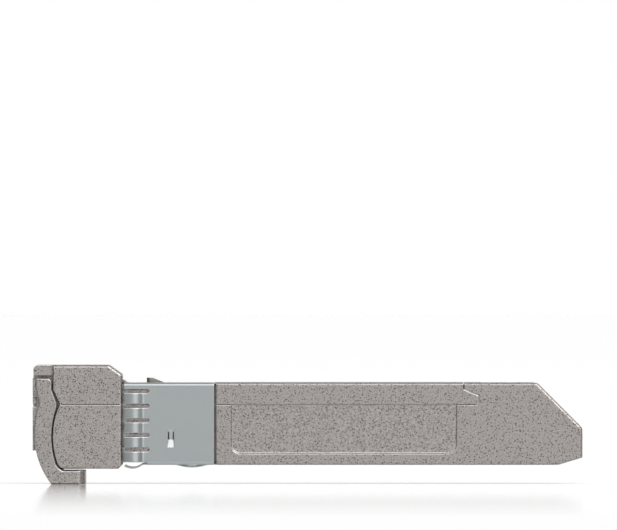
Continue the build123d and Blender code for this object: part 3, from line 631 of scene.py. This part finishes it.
class Paint:
    """Makes each finish once and puts it on pieces."""

    def __init__(self) -> None:
        """Starts with no material made."""
        self.made: dict[Finish, bpy.types.Material] = {}

    def dress(self, piece: bpy.types.Object, finish: Finish) -> None:
        """Gives a piece one finish all over.

        Args:
            piece: The mesh object.
            finish: The finish that it gets.
        """
        if finish not in self.made:
            self.made[finish] = finish.value.build()
        piece.data.materials.clear()
        piece.data.materials.append(self.made[finish])
        LOG.info("%s wears %s", piece.name, finish.value.name)


def deselect() -> None:
    """Leaves object mode with nothing selected."""
    if bpy.context.object and bpy.context.object.mode != "OBJECT":
        bpy.ops.object.mode_set(mode="OBJECT")
    bpy.ops.object.select_all(action="DESELECT")


def settle(piece: bpy.types.Object) -> None:
    """Moves a piece's place into its mesh, so that its object sits at the origin.

    Args:
        piece: The mesh object, which ends up unturned and unscaled.
    """
    deselect()
    piece.select_set(True)
    bpy.context.view_layer.objects.active = piece
    bpy.ops.object.transform_apply(location=True, rotation=True, scale=True)


@dataclass
class Housing:
    """The two cast shells and the sheet collar round them.

    Attributes:
        castings: The cast nodes.
        collar: The sheet-metal node.
        bead_start: The shade bead's lowest corner, in metres.
        bead_end: The shade bead's highest corner, in metres.
        bead_round: The rounding along the bead's top, in metres.
        bead_spans: How many spans the rounding has.
    """

    castings: tuple[str, ...] = ("base_shell", "cover_shell")
    collar: str = "spring_collar"
    bead_start: Vector = field(default_factory=lambda: Vector((16.085, -6.2, 9.8)) * MM)
    bead_end: Vector = field(default_factory=lambda: Vector((16.185, 6.2, 10.3)) * MM)
    bead_round: float = 0.04 * MM
    bead_spans: int = 4

    def build_bead(self, paint: Paint) -> bpy.types.Object:
        """Makes a black bead that fills the slit between the cover's end and the base, as painted
        shade where the open slit looks dark.

        Args:
            paint: The paint shop.

        Returns:
            The bead, rounded along the top.
        """
        deselect()
        size = self.bead_end - self.bead_start
        middle = (self.bead_start + self.bead_end) / 2
        bpy.ops.mesh.primitive_cube_add(size=1.0, location=middle)
        bead = bpy.context.object
        bead.name = "slit_shade_bead"
        bead.scale = size
        settle(bead)
        corners = bead.data.vertices
        for edge in bead.data.edges:
            low, high = (corners[i].co for i in edge.vertices)
            edge.select = min(low.z, high.z) > middle.z and abs(high.y - low.y) > size.y / 2
        for part in (*corners, *bead.data.polygons):
            part.select = False
        bpy.ops.object.mode_set(mode="EDIT")
        bpy.ops.mesh.select_mode(type="EDGE")
        bpy.ops.mesh.bevel(offset=self.bead_round, segments=self.bead_spans, affect="EDGES")
        bpy.ops.object.mode_set(mode="OBJECT")
        paint.dress(bead, Finish.SEAL)
        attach(bead, "housing")
        return bead

    def dress(self, nodes: dict[str, bpy.types.Object], paint: Paint) -> None:
        """Finishes the shells and the collar.

        Args:
            nodes: The CAD nodes by name.
            paint: The paint shop.
        """
        for name in self.castings:
            paint.dress(nodes[name], Finish.CAST)
        paint.dress(nodes[self.collar], Finish.SHEET)


@dataclass
class LatchWork:
    """The lever, the rocker and the flat spring over it.

    Attributes:
        thickness: The spring leaf's thickness, in metres.
        steps: How many spans the leaf's bow is divided into.
        rows: How many spans the leaf has across.
        crease: The angle above which an edge stays sharp, in degrees.
        pressed: Not used.
    """

    thickness: float = 0.12 * MM
    steps: int = 24
    rows: int = 4
    crease: float = 40.0
    pressed: float = 0.6

    def dress(self, nodes: dict[str, bpy.types.Object], paint: Paint) -> None:
        """Finishes the lever and the rocker.

        Args:
            nodes: The CAD nodes by name.
            paint: The paint shop.
        """
        paint.dress(nodes["bail_lever"], Finish.LEVER)
        paint.dress(nodes["latch_rocker"], Finish.LATCH)

    def build_leaf(self, paint: Paint) -> bpy.types.Object:
        """Makes the bowed leaf that presses the rocker's front arm down.

        Args:
            paint: The paint shop.

        Returns:
            The leaf, which stands for its CAD node.
        """
        low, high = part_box("rocker_spring")
        deselect()
        bpy.ops.mesh.primitive_grid_add(
            x_subdivisions=self.steps,
            y_subdivisions=self.rows,
            size=1.0,
            location=((low.x + high.x) / 2, (low.y + high.y) / 2, high.z),
        )
        leaf = bpy.context.object
        leaf.name = "leaf_spring"
        leaf.scale = (high.x - low.x, high.y - low.y, 1.0)
        settle(leaf)
        depth = high.z - low.z - self.thickness
        middle = (low.x + high.x) / 2
        span = (high.x - low.x) / 2
        for vertex in leaf.data.vertices:
            along = (vertex.co.x - middle) / span
            vertex.co.z -= depth * (1 - along**2) ** 2
        shell = leaf.modifiers.new("sheet", "SOLIDIFY")
        shell.thickness = self.thickness
        shell.offset = -1
        bpy.context.view_layer.objects.active = leaf
        bpy.ops.object.modifier_apply(modifier=shell.name)
        bpy.ops.object.shade_smooth_by_angle(angle=math.radians(self.crease))
        paint.dress(leaf, Finish.SHEET)
        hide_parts("rocker_spring")
        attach(leaf, "housing")
        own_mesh(leaf)
        return leaf


@dataclass
class Optics:
    """The two optical sub-assemblies and their clamp.

    Attributes:
        sides: The names of the two sub-assemblies.
        finishes: The finish of each kind of piece.
    """

    sides: tuple[str, ...] = ("transmit", "receive")
    finishes: dict[str, Finish] = field(
        default_factory=lambda: {
            "barrel": Finish.TURNED,
            "sleeve": Finish.ZIRCONIA,
            "stub": Finish.ZIRCONIA,
            "can": Finish.CAN,
            "flex": Finish.FLEX,
        }
    )

    def dress(self, nodes: dict[str, bpy.types.Object], paint: Paint) -> None:
        """Finishes the barrels, sleeves, stubs, cans, flex circuits and clamp.

        Args:
            nodes: The CAD nodes by name.
            paint: The paint shop.
        """
        for side in self.sides:
            for kind, finish in self.finishes.items():
                paint.dress(nodes[f"{side}_{kind}"], finish)
        paint.dress(nodes["optics_clamp"], Finish.CLAMP)


@dataclass
class Electronics:
    """The circuit board and what is soldered to it.

    Attributes:
        finishes: The finish of each node.
    """

    finishes: dict[str, Finish] = field(
        default_factory=lambda: {
            "circuit_board": Finish.BOARD,
            "upper_contacts": Finish.GOLD,
            "lower_contacts": Finish.GOLD,
            "driver_chip": Finish.CHIP,
            "amplifier_chip": Finish.CHIP,
            "controller_chip": Finish.CHIP,
            "thermal_pad": Finish.PAD,
            "capacitors": Finish.CAPACITOR,
            "resistors": Finish.CHIP,
        }
    )

    def dress(self, nodes: dict[str, bpy.types.Object], paint: Paint) -> None:
        """Finishes the board and its parts.

        Args:
            nodes: The CAD nodes by name.
            paint: The paint shop.
        """
        for name, finish in self.finishes.items():
            paint.dress(nodes[name], finish)


@dataclass
class Studio:
    """A pale floor, soft light all round, and a long lens square to the module's side.

    Attributes:
        aim_x: The picture's middle along the module, in metres.
        aim_z: The picture's middle above the floor, in metres.
        near_y: The nearest side face, where the picture's width is measured.
        width: What the picture is wide at that face, in metres.
        distance: From the lens to that face, in metres.
        nearest: Where the lens starts to see, in metres.
        farthest: Where it stops, in metres.
        floor_size: The floor's side, in metres.
        floor_colour: The floor's colour, sRGB hex.
        floor_gloss: The roughness of the floor's sheen.
        floor_glow: The share of plain white in what the lens, metal and glass see of the floor.
        mirror_reach: How far in front of the module the sheen fades out, in metres.
    """

    aim_x: float = 0.1 * MM
    aim_z: float = 22.63 * MM
    near_y: float = -6.7 * MM
    width: float = 63.67 * MM
    distance: float = 2.4
    nearest: float = 0.01
    farthest: float = 100.0
    floor_size: float = 16.0
    floor_colour: str = "fbfbfb"
    floor_gloss: float = 0.05
    floor_glow: float = 0.355
    mirror_reach: float = 0.318

    def set_camera(self) -> None:
        """Places the camera level, well back, with a long lens."""
        deselect()
        spot = (self.aim_x, self.near_y - self.distance, self.aim_z)
        bpy.ops.object.camera_add(location=spot, rotation=(math.pi / 2, 0, 0))
        camera = bpy.context.object
        camera.data.lens = camera.data.sensor_width * self.distance / self.width
        camera.data.clip_start = self.nearest
        camera.data.clip_end = self.farthest
        bpy.context.scene.camera = camera

    def lay_floor(self) -> None:
        """Lays a pale glossy floor, which keeps the module's shadow and its faint reflection."""
        deselect()
        bpy.ops.mesh.primitive_plane_add(size=self.floor_size)
        floor = bpy.context.object
        floor.name = "floor"
        material = bpy.data.materials.new("pale_sweep")
        material.use_nodes = True
        tree = material.node_tree
        output = tree.nodes["Material Output"]
        matt = tree.nodes["Principled BSDF"]
        matt.inputs["Base Color"].default_value = linear(self.floor_colour)
        matt.inputs["Roughness"].default_value = 1.0
        matt.inputs["Specular IOR Level"].default_value = 0.0
        glow = add_node(tree, "ShaderNodeEmission", values={"Color": linear("ffffff")})
        path = add_node(tree, "ShaderNodeLightPath")
        seen = add_node(
            tree,
            "ShaderNodeMath",
            {0: path.outputs["Is Camera Ray"], 1: path.outputs["Is Glossy Ray"]},
            operation="MAXIMUM",
        )
        shown = add_node(
            tree,
            "ShaderNodeMath",
            {0: seen.outputs[0], 1: path.outputs["Is Transmission Ray"]},
            operation="MAXIMUM",
        )
        share = add_node(
            tree,
            "ShaderNodeMath",
            {0: shown.outputs[0]},
            {1: self.floor_glow},
            operation="MULTIPLY",
        )
        pale = add_node(
            tree,
            "ShaderNodeMixShader",
            {0: share.outputs[0], 1: matt.outputs["BSDF"], 2: glow.outputs["Emission"]},
        )
        place = add_node(tree, "ShaderNodeTexCoord")
        axes = add_node(tree, "ShaderNodeSeparateXYZ", {0: place.outputs["Object"]})
        near = add_node(
            tree,
            "ShaderNodeMapRange",
            {"Value": axes.outputs["Y"]},
            {"From Min": -self.mirror_reach, "From Max": 0.0},
        )
        fade = add_node(
            tree, "ShaderNodeValToRGB", {"Fac": near.outputs["Result"]}, stops=MIRROR_FADE
        )
        sheen = add_node(tree, "ShaderNodeFresnel")
        mirrored = add_node(
            tree,
            "ShaderNodeMath",
            {0: fade.outputs["Color"], 1: sheen.outputs["Fac"]},
            operation="MULTIPLY",
        )
        gloss = add_node(
            tree,
            "ShaderNodeBsdfAnisotropic",
            values={"Color": linear("ffffff"), "Roughness": self.floor_gloss},
        )
        mix = add_node(
            tree,
            "ShaderNodeMixShader",
            {0: mirrored.outputs[0], 1: pale.outputs["Shader"], 2: gloss.outputs["BSDF"]},
        )
        tree.links.new(mix.outputs["Shader"], output.inputs["Surface"])
        floor.data.materials.append(material)

    def ramp(
        self,
        tree: bpy.types.NodeTree,
        source: bpy.types.NodeSocket,
        stops: tuple[tuple[float, float], ...],
    ) -> bpy.types.NodeSocket:
        """Turns one part of a direction, from minus one to one, into a level of light.

        Args:
            tree: The world's tree.
            source: The part of the direction.
            stops: Values of that part, each with its level.

        Returns:
            The socket that gives the level.
        """
        share = add_node(
            tree,
            "ShaderNodeMapRange",
            {"Value": source},
            {"From Min": -1.0, "From Max": 1.0},
        )
        levels = tuple(((at + 1) / 2, level) for at, level in stops)
        node = add_node(tree, "ShaderNodeValToRGB", {"Fac": share.outputs["Result"]}, stops=levels)
        return node.outputs["Color"]

    def light_world(self) -> None:
        """Wraps the scene in soft light: panels high in front, and a white backdrop behind.

        The lens and glass see plain white, and metal sees the panels and the backdrop.
        """
        world = bpy.data.worlds.new("studio")
        bpy.context.scene.world = world
        world.use_nodes = True
        tree = world.node_tree
        output = tree.nodes["World Output"]
        background = tree.nodes["Background"]
        place = add_node(tree, "ShaderNodeTexCoord")
        axes = add_node(tree, "ShaderNodeSeparateXYZ", {0: place.outputs["Generated"]})
        behind = self.ramp(tree, axes.outputs["Y"], BEHIND_SHARE)
        halves = []
        for along, height in ((FRONT_ALONG, FRONT_HEIGHT), (BACK_ALONG, BACK_HEIGHT)):
            ramps = {
                0: self.ramp(tree, axes.outputs["X"], along),
                1: self.ramp(tree, axes.outputs["Z"], height),
            }
            half = add_node(tree, "ShaderNodeMath", ramps, operation="MULTIPLY")
            halves.append(half.outputs[0])
        level = add_node(
            tree,
            "ShaderNodeMix",
            {FACTOR: behind, NUMBER_A: halves[0], NUMBER_B: halves[1]},
            data_type="FLOAT",
        )
        background.inputs["Color"].default_value = linear("ffffff")
        tree.links.new(level.outputs[NUMBER_OUT], background.inputs["Strength"])
        white = add_node(tree, "ShaderNodeBackground", values={"Color": linear("ffffff")})
        path = add_node(tree, "ShaderNodeLightPath")
        plain = add_node(
            tree,
            "ShaderNodeMath",
            {0: path.outputs["Is Camera Ray"], 1: path.outputs["Is Transmission Ray"]},
            operation="MAXIMUM",
        )
        mix = add_node(
            tree,
            "ShaderNodeMixShader",
            {
                0: plain.outputs[0],
                1: background.outputs["Background"],
                2: white.outputs["Background"],
            },
        )
        tree.links.new(mix.outputs["Shader"], output.inputs["Surface"])

    def build(self) -> None:
        """Sets the camera, the floor, the world and the plain view."""
        self.set_camera()
        self.lay_floor()
        self.light_world()
        bpy.context.scene.view_settings.view_transform = "Standard"


def main() -> None:
    """Builds the studio, dresses the CAD nodes and adds the scene's own pieces."""
    logging.basicConfig(level=logging.INFO, format="%(name)s: %(message)s")
    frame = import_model()
    deselect()
    paint = Paint()
    nodes = frame["nodes"]
    Studio().build()
    housing = Housing()
    housing.dress(nodes, paint)
    housing.build_bead(paint)
    latch = LatchWork()
    latch.dress(nodes, paint)
    latch.build_leaf(paint)
    Optics().dress(nodes, paint)
    Electronics().dress(nodes, paint)


if __name__ == "__main__":
    main()
